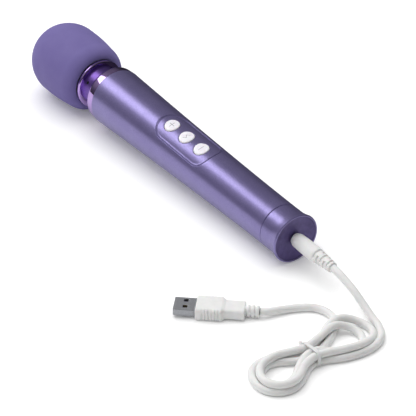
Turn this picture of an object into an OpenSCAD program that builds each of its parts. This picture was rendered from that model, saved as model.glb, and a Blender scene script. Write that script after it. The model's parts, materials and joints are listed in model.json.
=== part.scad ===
// Rechargeable handheld wand massager with its charging lead.
// The wand is drawn standing on its end face (+Z towards the head, +X through the buttons),
// then place() lays it on the table. The lead is drawn directly on the table.

/* [Wand] */
// Length from the end face to the crown of the head
overall_length = 254; // [250:1:260]
// Radius of the head at its straight band
head_r = 22.7; // [22.5:0.1:23.5]
// Radius of the handle where it meets the collar
handle_top_r = 18; // [17.8:0.1:18.4]
// Radius of the handle at its waist, by the end ring
waist_r = 14; // [13.9:0.1:14.4]
// Radius of the flared end ring
tail_r = 15.2; // [14.8:0.1:15.6]
// How far the buttons are turned from straight up, in degrees
roll = 14; // [0:1:20]

/* [Buttons] */
// Height of the middle button above the end face
button_mid = 101; // [99:1:103]
// Distance between buttons
button_pitch = 14.5; // [13.5:0.5:14.5]
// Radius of a button
button_r = 4.7; // [4:0.1:4.8]
// Travel of a button
button_travel = 0.8; // [0.4:0.1:0.8]

/* [Charging lead] */
// Diameter of the cord
cord_d = 4.4; // [4.2:0.1:4.6]
// Direction in which the flat plug's cord end points, in degrees from +X
usb_heading = 47.5; // [45:0.5:50]

/* [Hidden] */
$fn = 96;
eps = 0.01;
gap = 0.1;                                  // between parts that fit into each other

// Heights above the end face
ring_z = 15;                                // end ring meets the handle
handle_top_z = 179.3;                       // handle meets the collar
collar_z = 186.3;                           // top of the lower collar
flange_z = 196.6;                           // underside of the upper collar
pivot_z = 188;                              // centre of the flexible neck
split_z = 221;                              // where the two head shells meet
crown_z = overall_length - head_r;          // centre of the crown's dome
band_z = crown_z - 8;                       // the head's straight band is 8 mm long
corner_z = 209;                             // centre of the head's rounded lower corner
flare_z = 0.8;                              // widest height of the end ring

// Radii of the neck
sleeve_r = 12.9;
flange_r = 15.6;
collar_bore_r = 11;
dome_r = 18.8;                              // ball-shaped top of the upper collar
socket_r = 19.2;                            // hollow under the head that turns over it
neck_ball_r = 5.5;
neck_opening_r = 9.5;
neck_wire_bore_r = 1.8;

// Lying on the table: the head's band and the end ring touch it
tilt = atan((head_r - tail_r) / (band_z - flare_z));
tail_height = tail_r * cos(tilt) - flare_z * sin(tilt);
tail_x = (crown_z * cos(tilt) + head_r - tail_r * sin(tilt)) / 2;

// Colours
skin = "#7b6fa8";
pearl = "#8d7fc0";
chrome = "#a678c8";
steel = "#b9bcc2";
shell_grey = "#5a5b60";
copper = "#b8733a";
cord_white = "#ececec";

// ---------- helpers ----------

function reversed(list) = [for (i = [len(list) - 1 : -1 : 0]) list[i]];
function arc(centre, rx, rz, from, to, steps) =
    [for (i = [0 : steps]) let (a = from + (to - from) * i / steps)
        [centre[0] + rx * cos(a), centre[1] + rz * sin(a)]];
function unit(v) = v / norm(v);

// A smooth curve through hand-placed points, with steps pieces between two of them
function between(a, b, c, d, t) =
    0.5 * (2 * b + (c - a) * t + (2 * a - 5 * b + 4 * c - d) * t * t + (3 * b - a - 3 * c + d) * t * t * t);
function smooth(p, steps) = let (last = len(p) - 1)
    [for (i = [0 : last - 1]) for (j = [0 : steps - 1])
        between(p[max(i - 1, 0)], p[i], p[i + 1], p[min(i + 2, last)], j / steps), p[last]];

// A round tube along a route; up is any direction that the route never takes
module tube(p, r, sides, up) {
    last = len(p) - 1;
    rings = [for (i = [0 : last])
        let (along = unit(p[min(i + 1, last)] - p[max(i - 1, 0)]),
             side = unit(cross(along, up)),
             top = cross(side, along))
        for (k = [0 : sides - 1]) p[i] + r * (cos(360 * k / sides) * side + sin(360 * k / sides) * top)];
    walls = [for (i = [0 : last - 1]) for (k = [0 : sides - 1])
        let (a = i * sides + k, b = i * sides + (k + 1) % sides) [a, b, b + sides, a + sides]];
    caps = [[for (k = [sides - 1 : -1 : 0]) k], [for (k = [0 : sides - 1]) last * sides + k]];
    polyhedron(points = rings, faces = concat(walls, caps), convexity = 8);
}

module ring(outer, inner, from, to) {
    difference() {
        translate([0, 0, from]) cylinder(r = outer, h = to - from);
        translate([0, 0, from - 1]) cylinder(r = inner, h = to - from + 2);
    }
}
module rod(r, from, to) { translate([0, 0, from]) cylinder(r = r, h = to - from); }
// A rod that points out through the buttons, at height z and side y
module front_rod(r, z, y, from, to) { translate([from, y, z]) rotate([0, 90, 0]) cylinder(r = r, h = to - from); }
module box(low, high) { translate(low) cube(high - low); }
// Extrudes an outline (height, side) out through the front of the handle
module through_front() { rotate([180, -90, 0]) linear_extrude(height = 30) children(); }

// The wand from standing on its end to lying on the table
module place() {
    translate([tail_x, 0, tail_height]) rotate([0, tilt, 0]) rotate([roll, 0, 0]) rotate([0, -90, 0]) children();
}

// ---------- head ----------

// Outer outline of the head, moved inwards by inset
function head_side(inset) = concat(
    arc([15.4, corner_z], 6 - inset, 9.5 - inset, -80, 0, 14),
    [[head_r - inset, band_z]],
    arc([0, crown_z], head_r - inset, head_r - inset, 0, 90, 24));
cover_t = 1.8;
shell_out = 1.85;
shell_in = 3.6;

module head_cover() {
    color(skin) rotate_extrude() polygon(concat(head_side(0), reversed(head_side(cover_t))));
}

module head_crown_shell() {
    color(shell_grey) intersection() {
        rotate_extrude() polygon(concat(head_side(shell_out), reversed(head_side(shell_in))));
        rod(head_r, split_z, overall_length);
    }
}

// Hollow ball surface round the neck's centre, from angle a to b off the axis
function ball_arc(r, a, b, steps) = arc([0, pivot_z], r, r, 90 - a, 90 - b, steps);

module head_base_shell() {
    stem_hole_r = 4 + gap;
    wall = head_side(shell_out);
    inner = head_side(shell_in);
    color(shell_grey) difference() {
        rotate_extrude() polygon(concat(
            [for (p = wall) if (p[1] < split_z - 1) p],
            [[20.6, split_z], [18.85, split_z]],
            reversed([for (p = inner) if (p[1] < split_z - 1 && p[1] > 204) p]),
            [[12, 205.4], [8, 208], [stem_hole_r, 208]],
            ball_arc(socket_r, asin(stem_hole_r / socket_r), 53.5, 12)));
        for (a = [60 : 120 : 300]) rotate(a) translate([16, 0, split_z - 3]) rotate([0, 90, 0]) cylinder(r = 1, h = 6);
    }
}

// ---------- motor ----------

motor_r = 12;
motor_shaft_r = 1.5;

module motor_can() {
    color(steel) difference() {
        union() { rod(motor_r, 212, 238); rod(4, 237, 239.3); }
        rod(motor_r - 0.8, 211, 236.8);
        rod(3, 236, 240);
        for (side = [-1, 1]) translate([8 * side, 0, 236]) cylinder(r = 1, h = 3);
    }
}
module motor_end_cap() {
    color("#22242a") difference() {
        union() { rod(motor_r, 209.6, 212); rod(motor_r - 0.9, 211.9, 212.6); }
        rod(3, 210, 213);
        rod(2, 209, 211);
    }
}
module motor_magnets() {
    color("#3b3b40") difference() {
        ring(motor_r - 0.9, 9.2, 216, 233);
        box([-20, -3, 215], [20, 3, 234]);
    }
}
module motor_bushes() {
    color(copper) { ring(3, motor_shaft_r + 0.05, 210.1, 212.4); ring(3, motor_shaft_r + 0.05, 236.8, 239.3); }
}
module motor_sleeve() { color("#2a2a2e") ring(15, motor_r, 214, 234); }
module motor_cradle() {
    color(shell_grey) difference() {
        ring(17.8, 15.05, 215, 221);
        for (a = [0 : 60 : 300]) rotate(a) box([16, -3, 214], [20, 3, 222]);
    }
}
module motor_bracket() {
    color(steel) difference() {
        rod(15.5, 238, 239.3);
        rod(4, 237, 240);
        for (side = [-1, 1]) translate([8 * side, 0, 237]) cylinder(r = 1.1, h = 3);
        for (side = [-1, 1]) translate([0, 11 * side, 237]) cylinder(r = 2.5, h = 3);
    }
}
module motor_screws() {
    color(steel) for (side = [-1, 1]) translate([8 * side, 0, 0]) difference() {
        union() { rod(0.95, 236.9, 239.6); rod(1.7, 239.3, 240.5); }
        box([-0.25, -1.5, 240], [0.25, 1.5, 241]);
        box([-1.5, -0.25, 240], [1.5, 0.25, 241]);
    }
}
module motor_shaft() { color(steel) rod(motor_shaft_r, 210.3, 247.4); }
module armature() {
    color(copper) difference() {
        rod(8.6, 216, 233);
        rod(motor_shaft_r, 215, 234);
        for (a = [0 : 60 : 300]) rotate(a) box([4.5, -0.8, 215], [9, 0.8, 234]);
    }
}
module commutator() { color(copper) ring(3.6, motor_shaft_r, 213, 215.8); }
module eccentric_weight() {
    color(steel) difference() {
        union() {
            rod(3.2, 241.3, 246.8);
            intersection() { rod(9, 241.3, 246.8); box([0, -9, 241], [9, 9, 247]); }
        }
        rod(motor_shaft_r, 240, 248);
    }
}

// ---------- flexible neck ----------

module neck_stem() {
    color(steel) difference() {
        union() { rod(7.5, 190, 194.5); rod(4, 194, 209); rod(6.5, 208, 209.2); }
        translate([0, 0, pivot_z]) sphere(r = neck_ball_r + gap);
        rod(neck_wire_bore_r, 189, 210);
    }
}
module neck_core() {
    color("#2f2f33") difference() {
        translate([0, 0, pivot_z]) sphere(r = neck_ball_r);
        rod(2.7, 180, 196);
    }
}
module neck_post() {
    color(steel) difference() {
        rod(7.5, 181.5, 186);
        translate([0, 0, pivot_z]) sphere(r = neck_ball_r + gap);
        rod(neck_wire_bore_r, 181, 187);
    }
}

// ---------- collar ----------

module upper_collar() {
    under_r = dome_r - 1.5;
    color(chrome) rotate_extrude() polygon(concat(
        ball_arc(dome_r, asin(neck_opening_r / dome_r), asin(flange_r / dome_r), 12),
        [[flange_r, flange_z + 0.6], [flange_r - 0.6, flange_z], [collar_bore_r, flange_z]],
        ball_arc(under_r, asin(collar_bore_r / under_r), asin(neck_opening_r / under_r), 4)));
}
module neck_sleeve() {
    color(chrome) difference() {
        ring(sleeve_r, collar_bore_r, collar_z, flange_z);
        for (a = [45 : 90 : 315]) rotate(a) front_rod(1.05, 193.6, 0, 10, 14);
    }
}
module neck_set_screws() {
    color("#1d1d20") for (a = [45 : 90 : 315]) rotate(a) difference() {
        front_rod(1, 193.6, 0, 10.9, 12.5);
        translate([11.8, 0, 193.6]) rotate([0, 90, 0]) cylinder(r = 0.5, h = 1, $fn = 6);
    }
}
module lower_collar() {
    spigot_r = 14.9;
    spigot_z = 168;
    color(chrome) rotate_extrude() polygon([
        [handle_top_r - 0.1, handle_top_z], [17.5, 184.8], [16.7, collar_z], [collar_bore_r, collar_z],
        [collar_bore_r, 181.5], [2.3, 181.5], [2.3, 179], [13.2, 179], [13.2, spigot_z],
        [spigot_r, spigot_z], [spigot_r, handle_top_z]]);
}

// ---------- handle ----------

// The handle's radius at a height: it narrows quickly below the collar, then slowly
function handle_r(z) = waist_r + (handle_top_r - waist_r) * pow((z - ring_z) / (handle_top_z - ring_z), 1.5);
function handle_side(from, to, steps) =
    [for (i = [0 : steps]) let (z = from + (to - from) * i / steps) [handle_r(z), z]];

// Outline of the control panel (height, side): round towards the head, blunter towards the end
panel_half = 10.2;
panel_low = 76;
panel_high = 125.5;
function panel_outline(inset) = concat(
    arc([panel_high - panel_half, 0], panel_half - inset, panel_half - inset, -90, 90, 24),
    [for (i = [0 : 24]) let (a = 90 + 180 * i / 24)
        [panel_low + 8.5 - (8.5 - inset) * pow(abs(cos(a)), 0.8),
         (panel_half - inset) * sign(sin(a)) * pow(abs(sin(a)), 0.8)]]);

module handle_tube() {
    color(pearl) difference() {
        rotate_extrude() polygon(concat(handle_side(ring_z, handle_top_z, 24),
            [[15, handle_top_z], [15, 130], [13.4, 129], [13.4, 71], [12.4, 70], [12.4, ring_z]]));
        through_front() polygon(panel_outline(0));
    }
}

button_heights = [button_mid + button_pitch, button_mid, button_mid - button_pitch];

module control_panel() {
    color(pearl) difference() {
        intersection() {
            rotate_extrude() polygon(concat(handle_side(panel_low - 2, panel_high + 2, 8),
                [[13.6, panel_high + 2], [13.6, panel_low - 2]]));
            through_front() polygon(panel_outline(0.2));
        }
        for (z = button_heights) front_rod(button_r + 0.2, z, 0, 8, 20);
    }
}

// A button follows the handle's roundness and stands slightly proud of it
flange_top = 12.2;
stem_foot = 10.8;
module button(z) {
    color("white") union() {
        intersection() {
            front_rod(button_r, z, 0, flange_top - eps, 20);
            rod(handle_r(z) + 0.5, z - 6, z + 6);
        }
        front_rod(5.4, z, 0, 11.5, flange_top);
        front_rod(3, z, 0, stem_foot, 11.6);
    }
}
module button_plus() { button(button_heights[0]); }
module button_mode() { button(button_heights[1]); }
module button_minus() { button(button_heights[2]); }

// The plunger of each switch goes down with its button
board_top = 7.6;
module plunger(z) { color("#1b1b1e") front_rod(1.6, z, 0, board_top + 0.4 + button_travel, stem_foot); }
module plunger_plus() { plunger(button_heights[0]); }
module plunger_mode() { plunger(button_heights[1]); }
module plunger_minus() { plunger(button_heights[2]); }

module keypad_membrane() {
    color("#d9d9de") difference() {
        box([10.1, -7.2, 79], [10.7, 7.2, 123]);
        for (z = button_heights) front_rod(3.4, z, 0, 9, 12);
    }
}
module tact_switches() {
    color("#c9ccd2") for (z = button_heights) difference() {
        box([board_top, -3, z - 3], [10, 3, z + 3]);
        front_rod(1.7, z, 0, board_top + 0.3, 12);
    }
}

screw_heights = [78, 126];
module control_board() {
    color("#1f6b45") difference() {
        box([6.4, -10, 74], [board_top, 10, 130]);
        for (z = screw_heights) for (y = [-8.2, 8.2]) front_rod(1, z, y, 5, 9);
    }
}
module board_parts() {
    color("#26272b") {
        for (z = [93.7, 108.2]) box([board_top, -2.5, z - 2.5], [board_top + 1, 2.5, z + 2.5]);
        for (y = [-6.5, 6.5]) front_rod(2, 97, y, board_top, 10);
        for (z = [84 : 6 : 114]) box([board_top, 7, z - 1], [board_top + 0.8, 9, z + 1]);
    }
}
module board_screws() {
    color(steel) for (z = screw_heights) for (y = [-8.2, 8.2]) difference() {
        union() { front_rod(0.8, z, y, 3.6, board_top + 0.1); front_rod(1.4, z, y, board_top, 8.5); }
        box([8.1, y - 1.2, z - 0.2], [9, y + 1.2, z + 0.2]);
    }
}

cell_x = -3.6;
module chassis_frame() {
    color(shell_grey) difference() {
        union() {
            rod(12.3, 66, 69.6);
            rod(14.9, 137.5, 141);
            for (side = [-1, 1]) {
                box([-1.5, side * 11.1 - 0.9, 69], [3, side * 11.1 + 0.9, 138]);
                for (z = screw_heights) box([2.6, side * 8.9 - 1.6, z - 2.2], [6.4, side * 8.9 + 1.6, z + 2.2]);
            }
        }
        for (z = screw_heights) for (y = [-8.2, 8.2]) front_rod(0.85, z, y, 3.4, 7);
        for (z = [65, 137]) box([5.5, -5, z], [9.5, 5, z + 5]);
    }
}
module battery_cell() { color("#3c78b4") translate([cell_x, 0, 0]) rod(9.2, 71, 136); }
module battery_pads() {
    color("#202024") translate([cell_x, 0, 0]) { rod(8.4, 69.6, 71); rod(8.4, 136, 137.5); }
}

// ---------- wires inside ----------

module wire_pair(routes) { for (p = routes) tube(smooth(p, 3), 0.5, 8, [0, 1, 0.02]); }
module battery_leads() {
    color("#b03030") wire_pair([for (y = [-3.5, 3.5])
        [[5.7, y, 134.2], [6.6, y, 135.6], [8.2, y, 135.3], [9, y, 133.5], [8.4, y, 128.5]]]);
}
module head_leads() {
    color("#b03030") wire_pair([for (y = [-0.8, 0.8])
        [[0, y, pivot_z + 0.5], [0, y, 196], [0, y, 203], [0, y, 209.4]]]);
}
module neck_leads() {
    color("#b03030") wire_pair([for (y = [-0.8, 0.8])
        [[0, y, pivot_z - 0.5], [0, y, 179], [2, 1.5 * y, 168], [6.5, 2 * y, 155], [8.5, 2 * y, 144],
         [8.4, 2 * y, 136], [8.3, 2 * y, 127]]]);
}
module charge_leads() {
    color("#b03030") wire_pair([for (y = [-3, 3])
        [[3, y, 14.1], [4, y, 20], [6.5, y, 34], [7.5, y, 50], [8.2, y, 62], [8.3, y, 70], [8.3, y, 76]]]);
}

// ---------- end of the handle ----------

// The ring flares out in a hollow arc below this height
flare_top_z = 9;
flare_arc_r = (pow(flare_top_z - flare_z, 2) + pow(tail_r - waist_r, 2)) / (2 * (tail_r - waist_r));
module tail_ring() {
    spigot_r = 12.3;
    color(pearl) rotate_extrude() polygon(concat(
        [[tail_r - 0.5, 0]],
        arc([waist_r + flare_arc_r, flare_top_z], flare_arc_r, flare_arc_r,
            180 + asin((flare_top_z - flare_z) / flare_arc_r), 180, 12),
        [[waist_r, ring_z], [spigot_r, ring_z], [spigot_r, 17], [11.4, 17], [11.4, 18.4], [spigot_r, 18.4],
         [spigot_r, 21], [10.2, 21], [10.2, 2.5], [14, 2.5], [14, 0]]));
}
module tail_seal() { color("#202024") ring(12.36, 11.4, 17.1, 18.3); }
module tail_plate() {
    color("#4b3f6b") difference() {
        rotate_extrude() polygon([[2.2, 2.5], [13.9, 2.5], [13.9, 0.3], [12.9, 0.5], [9, 0.9], [5, 1.1], [2.2, 1.2]]);
    }
}
module jack_body() {
    color("#1d1d20") difference() {
        union() { rod(4.6, 2.5, 14); rod(2.1, 1.3, 2.6); }
        rod(1.85, 0, 12);
    }
}
module jack_pin() { color(steel) rod(0.6, 3, 12); }

// ---------- round plug ----------

boot_z = -20;
boot_end_z = -33.6;
module plug_sleeve() { color(steel) ring(1.75, 0.7, 0.6, 10.5); }
module plug_grip() {
    color(cord_white) rotate_extrude() polygon([[0, boot_z], [4.4, boot_z], [4.6, boot_z + 1.2], [4.2, -0.4],
        [3.4, 0.6], [0, 0.6]]);
}
// Tapered strain relief with ribs: groove, rib, groove, ...
ribs = 5;
module plug_boot() {
    pitch = (boot_z - boot_end_z) / ribs;
    taper = function (z) 2.9 + 1.4 * (z - boot_end_z) / (boot_z - boot_end_z);
    color(cord_white) rotate_extrude() polygon(concat([[0, boot_end_z]],
        [for (i = [0 : ribs - 1]) let (z = boot_end_z + i * pitch)
            each [[taper(z), z], [taper(z), z + 0.6 * pitch], [taper(z) - 0.7, z + 0.65 * pitch],
                [taper(z) - 0.7, z + pitch - eps]]],
        [[0, boot_z]]));
}

// ---------- cord ----------

// The flat plug lies at the cord's far end
usb_front = [127, -83.5];                   // middle of the metal shell's front edge
usb_z = 3.7;                                // height of the plug's middle plane
shell_l = 12.2;
wide_l = 16.5;
grip_l = 27;
usb_boot_l = 8;
usb_l = shell_l + grip_l + usb_boot_l;
usb_end = [usb_front[0] + usb_l * cos(usb_heading), usb_front[1] + usb_l * sin(usb_heading), usb_z];

// Where the cord leaves the round plug's strain relief
cord_start = [tail_x - boot_end_z * cos(tilt), 0, tail_height + boot_end_z * sin(tilt)];
cord_low = cord_d / 2;                      // height of a cord that lies on the table
// Route from the round plug down to the hank, hand-placed
to_plug = [cord_start, [166, 0, 13.3], [172, -0.1, 11.9], [179, -0.2, 9.7], [186, -0.5, 6.9], [193, -1.1, 4.2],
    [199, -1.9, 2.6], [204.6, -3, cord_low]];
// Route from the hank to the flat plug, hand-placed
to_usb = [[197.7, -29.2, cord_low], [193.3, -23.6, cord_low], [188, -19.6, cord_low], [182, -18, cord_low],
    [176.2, -18.6, cord_low], [171, -21.5, cord_low], [167, -27, cord_low], [164, -33.7, 2.3], [162, -40.3, 2.8],
    [160.9, -45.3, 3.4], usb_end];
module cord_to_plug() { color(cord_white) tube(smooth(to_plug, 2), cord_d / 2, 10, [0, 0.03, 1]); }
module cord_to_usb() { color(cord_white) tube(smooth(to_usb, 2), cord_d / 2, 10, [0, 0.03, 1]); }

// The folded rest of the cord: two lobes and a waist, as one solid
hank_centre = [207.5, -51.5];
hank_turn = 2.7;
hank_h = 9;
wand_lobe = [0, 33, 15.4];                  // x, y and radius of the lobe beside the wand
far_lobe = [0.8, -23.4, 16.2];
waist_half = 7.1;
tie_w = 2.6;
tie_t = 0.5;
module on_hank() { translate([hank_centre[0], hank_centre[1], 0]) rotate(hank_turn) children(); }
module tie_hole() { box([tie_t - waist_half, -9, tie_t], [waist_half - tie_t, 9, hank_h - tie_t]); }
module cord_hank() {
    color(cord_white) on_hank() difference() {
        linear_extrude(height = hank_h) {
            for (lobe = [wand_lobe, far_lobe]) translate([lobe[0], lobe[1]]) circle(r = lobe[2]);
            polygon([[-13.5, 27], [-waist_half, 0], [-13, -18], [14.5, -16], [waist_half, 0], [13.5, 27]]);
        }
        difference() {
            box([-20, -tie_w / 2, -1], [20, tie_w / 2, 20]);
            tie_hole();
        }
    }
}
module twist_tie() {
    color(cord_white) on_hank() difference() {
        box([-waist_half, -tie_w / 2, 0], [waist_half, tie_w / 2, hank_h]);
        tie_hole();
    }
}

// ---------- flat plug ----------

module on_usb() { translate([usb_front[0], usb_front[1], usb_z]) rotate(usb_heading) children(); }
module across(x, from_y, to_y, z, r) { translate([x, from_y, z]) rotate([-90, 0, 0]) cylinder(r = r, h = to_y - from_y); }

module usb_grip() {
    color(cord_white) on_usb() difference() {
        union() {
            box([shell_l, -8, -3.7], [shell_l + wide_l - 2, 8, 3.7]);
            box([shell_l + wide_l - 3, -6, -3], [shell_l + grip_l, 6, 3]);
            for (s = [0 : 3]) box([shell_l + wide_l - 2 + s / 2, s / 2 - 8, s / 6 - 3.7],
                [shell_l + wide_l - 1.5 + s / 2, 8 - s / 2, 3.7 - s / 6]);
        }
        for (side = [-1, 1]) for (i = [0 : 5])
            box([shell_l + 3.4 + 1.8 * i, side * 8 - 0.4, -5], [shell_l + 4.2 + 1.8 * i, side * 8 + 0.4, 5]);
    }
}
module usb_shell() {
    color(steel) on_usb() difference() {
        box([0, -6, -2.25], [shell_l, 6, 2.25]);
        box([-1, -5.7, -1.95], [shell_l - 1, 5.7, 1.95]);
        for (y = [-2.5, 2.5]) box([5.2, y - 1.2, -3], [7.6, y + 1.2, 3]);
    }
}
module usb_tongue() { color("#20242c") on_usb() box([0.8, -5.6, -1.9], [shell_l - 1, 5.6, -0.1]); }
module usb_contacts() {
    color("#d8b25a") on_usb() for (y = [-3.5, -1, 1, 3.5]) box([1.6, y - 0.5, -0.1], [shell_l - 1.5, y + 0.5, 0.1]);
}
module usb_boot() {
    x0 = shell_l + grip_l;
    color(cord_white) on_usb() rotate([0, 90, 0]) union() {
        translate([0, 0, x0]) cylinder(r = 2.7, h = usb_boot_l);
        for (i = [0 : 2]) translate([0, 0, x0 + 1.2 + 2.5 * i]) cylinder(r = 3.4, h = 1.6);
    }
}

place() head_cover();
place() head_crown_shell();
place() head_base_shell();
place() motor_can();
place() motor_end_cap();
place() motor_magnets();
place() motor_bushes();
place() motor_sleeve();
place() motor_cradle();
place() motor_bracket();
place() motor_screws();
place() motor_shaft();
place() armature();
place() commutator();
place() eccentric_weight();
place() neck_stem();
place() neck_core();
place() neck_post();
place() upper_collar();
place() neck_sleeve();
place() neck_set_screws();
place() lower_collar();
place() handle_tube();
place() control_panel();
place() button_plus();
place() button_mode();
place() button_minus();
place() plunger_plus();
place() plunger_mode();
place() plunger_minus();
place() keypad_membrane();
place() tact_switches();
place() control_board();
place() board_parts();
place() board_screws();
place() chassis_frame();
place() battery_cell();
place() battery_pads();
place() battery_leads();
place() head_leads();
place() neck_leads();
place() charge_leads();
place() tail_ring();
place() tail_seal();
place() tail_plate();
place() jack_body();
place() jack_pin();
place() plug_sleeve();
place() plug_grip();
place() plug_boot();
cord_to_plug();
cord_hank();
twist_tie();
cord_to_usb();
usb_boot();
usb_grip();
usb_shell();
usb_tongue();
usb_contacts();
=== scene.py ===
# Rechargeable wand massager lying on a pale table, with its charging cord folded into a tied hank.
import json
import math

import bmesh
import bpy
import numpy as np
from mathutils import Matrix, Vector


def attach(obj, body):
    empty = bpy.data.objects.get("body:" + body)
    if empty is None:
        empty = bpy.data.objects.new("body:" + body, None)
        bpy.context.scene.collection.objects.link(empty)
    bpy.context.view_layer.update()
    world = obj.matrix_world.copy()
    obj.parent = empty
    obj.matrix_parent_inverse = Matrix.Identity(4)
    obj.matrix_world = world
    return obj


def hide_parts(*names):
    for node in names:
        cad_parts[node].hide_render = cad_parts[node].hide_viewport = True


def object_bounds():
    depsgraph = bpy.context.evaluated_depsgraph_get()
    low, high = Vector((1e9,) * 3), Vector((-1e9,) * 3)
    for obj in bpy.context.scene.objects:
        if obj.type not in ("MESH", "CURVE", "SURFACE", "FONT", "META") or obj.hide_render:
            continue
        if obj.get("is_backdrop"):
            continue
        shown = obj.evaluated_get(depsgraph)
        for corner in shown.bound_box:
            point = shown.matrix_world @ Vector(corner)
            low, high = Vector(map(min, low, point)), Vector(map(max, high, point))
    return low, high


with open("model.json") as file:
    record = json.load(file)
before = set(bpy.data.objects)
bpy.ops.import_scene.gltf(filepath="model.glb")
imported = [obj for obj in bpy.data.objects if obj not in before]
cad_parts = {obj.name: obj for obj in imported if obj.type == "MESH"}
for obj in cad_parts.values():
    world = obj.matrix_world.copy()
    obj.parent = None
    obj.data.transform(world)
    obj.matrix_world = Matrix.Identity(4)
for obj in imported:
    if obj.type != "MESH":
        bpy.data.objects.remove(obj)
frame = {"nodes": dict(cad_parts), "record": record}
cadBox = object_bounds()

mm = 0.001

# The camera looks down along the wand from past its charging end, through a long lens
view = dict(place=(1.1460, -0.7912, 0.8668), target=(0.0530, -0.0077, 0.0), lens=239.3)

cameraData = bpy.data.cameras.new("camera")
cameraData.lens = view["lens"]
cameraData.sensor_width = 36
cameraData.clip_start, cameraData.clip_end = 0.05, 20
camera = bpy.data.objects.new("camera", cameraData)
camera.location = view["place"]
camera.rotation_mode = "QUATERNION"
camera.rotation_quaternion = (Vector(view["target"]) - Vector(view["place"])).to_track_quat("-Z", "Y")
bpy.context.scene.collection.objects.link(camera)
bpy.context.scene.camera = camera
print("camera ready")


def linear(hexColour):
    # sRGB hex to linear light
    c = np.array([int(hexColour[i:i + 2], 16) / 255 for i in (1, 3, 5)])
    c = np.where(c <= 0.04045, c / 12.92, ((c + 0.055) / 1.055) ** 2.4)
    return (*c.tolist(), 1.0)


def addNode(tree, kind, links=(), **values):
    # a value names a setting of the node or, with _ for a space, one of its sockets
    made = tree.nodes.new(kind)
    for key, value in values.items():
        if hasattr(made, key):
            setattr(made, key, value)
        else:
            made.inputs[key.replace("_", " ")].default_value = value
    for socket, source in links:
        tree.links.new(source, made.inputs[socket])
    return made


def newMaterial(name, **settings):
    # a shader with its settings, and the place on the piece that its patterns read
    material = bpy.data.materials.new(name)
    material.use_nodes = True
    tree = material.node_tree
    tree.nodes.clear()
    shader = addNode(tree, "ShaderNodeBsdfPrincipled", **settings)
    addNode(tree, "ShaderNodeOutputMaterial", [("Surface", shader.outputs[0])])
    return material, tree, shader, addNode(tree, "ShaderNodeTexCoord").outputs["Object"]


def rampStops(ramp, stops):
    # colour ramp with (position, colour) stops
    band = ramp.color_ramp
    while len(band.elements) < len(stops):
        band.elements.new(0.5)
    for element, (position, colour) in zip(band.elements, stops):
        element.position, element.color = position, colour


def dress(tree, shader, tint, stops, wear=None, rough=(0, 1), relief=None, strength=0.3, depth=0.0):
    # Colour follows the tint pattern through (position, hex) stops, roughness runs over its range with the wear
    # pattern, and the relief pattern gives bumps, depth millimetres deep.
    ramp = addNode(tree, "ShaderNodeValToRGB", [("Fac", tint)])
    rampStops(ramp, [(position, linear(colour)) for position, colour in stops])
    tree.links.new(ramp.outputs["Color"], shader.inputs["Base Color"])
    if wear is not None:
        fine = addNode(tree, "ShaderNodeMapRange", [("Value", wear)], To_Min=rough[0], To_Max=rough[1])
        tree.links.new(fine.outputs["Result"], shader.inputs["Roughness"])
    if relief is not None:
        bump = addNode(tree, "ShaderNodeBump", [("Height", relief)], Strength=strength, Distance=depth * mm)
        tree.links.new(bump.outputs["Normal"], shader.inputs["Normal"])


def softTouchSilicone():
    # moulded silicone with a velvet soft-touch coat: dull, even, a pale bloom at grazing angles
    look = dict(light="#766ca4", dark="#7167a0", bloomMm=14, grainMm=0.45, grainDepth=0.02)
    material, tree, shader, place = newMaterial(
        "soft_touch_silicone", Roughness=0.62, IOR=1.41, Specular_IOR_Level=0.22,
        Sheen_Weight=0.03, Sheen_Roughness=0.45, Sheen_Tint=linear("#b9aee6"))
    bloom = addNode(tree, "ShaderNodeTexNoise", [("Vector", place)], Scale=1000 / look["bloomMm"], Detail=3.0)
    grain = addNode(tree, "ShaderNodeTexNoise", [("Vector", place)], Scale=1000 / look["grainMm"], Detail=2.0)
    dress(tree, shader, bloom.outputs["Fac"], [(0.35, look["dark"]), (0.65, look["light"])],
          grain.outputs["Fac"], (0.55, 0.72), grain.outputs["Fac"], 0.35, look["grainDepth"])
    return material


def pearlLacquer():
    # ABS sprayed with violet mica lacquer under clear: satin metal glow, fine glitter, slight orange peel.
    # Mica flakes are about 0.05 mm across; they are drawn 0.35 mm across so that they show.
    look = dict(deep="#8d83b9", mid="#958bc1", pale="#9e95c9", flakeMm=0.35, cloudMm=9.0, peelMm=2.2)
    material, tree, shader, place = newMaterial(
        "pearl_lacquer", Metallic=0.8, Roughness=0.33, IOR=1.5, Coat_Weight=0.25, Coat_Roughness=0.15)
    flakes = addNode(tree, "ShaderNodeTexVoronoi", [("Vector", place)], Scale=1000 / look["flakeMm"])
    glint = addNode(tree, "ShaderNodeSeparateColor", [("Color", flakes.outputs["Color"])])
    cloud = addNode(tree, "ShaderNodeTexNoise", [("Vector", place)], Scale=1000 / look["cloudMm"], Detail=3.0)
    blend = addNode(tree, "ShaderNodeMath", [(0, glint.outputs["Red"]), (1, cloud.outputs["Fac"])],
                    operation="MULTIPLY_ADD")
    blend.inputs[2].default_value = 0.12
    peel = addNode(tree, "ShaderNodeTexNoise", [("Vector", place)], Scale=1000 / look["peelMm"], Detail=1.0)
    height = addNode(tree, "ShaderNodeMath", [(0, glint.outputs["Blue"]), (2, peel.outputs["Fac"])],
                     operation="MULTIPLY_ADD")
    height.inputs[1].default_value = 0.35
    dress(tree, shader, blend.outputs[0], [(0.1, look["deep"]), (0.4, look["mid"]), (0.85, look["pale"])],
          glint.outputs["Green"], (0.3, 0.37), height.outputs[0], 0.06, 0.02)
    return material


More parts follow.
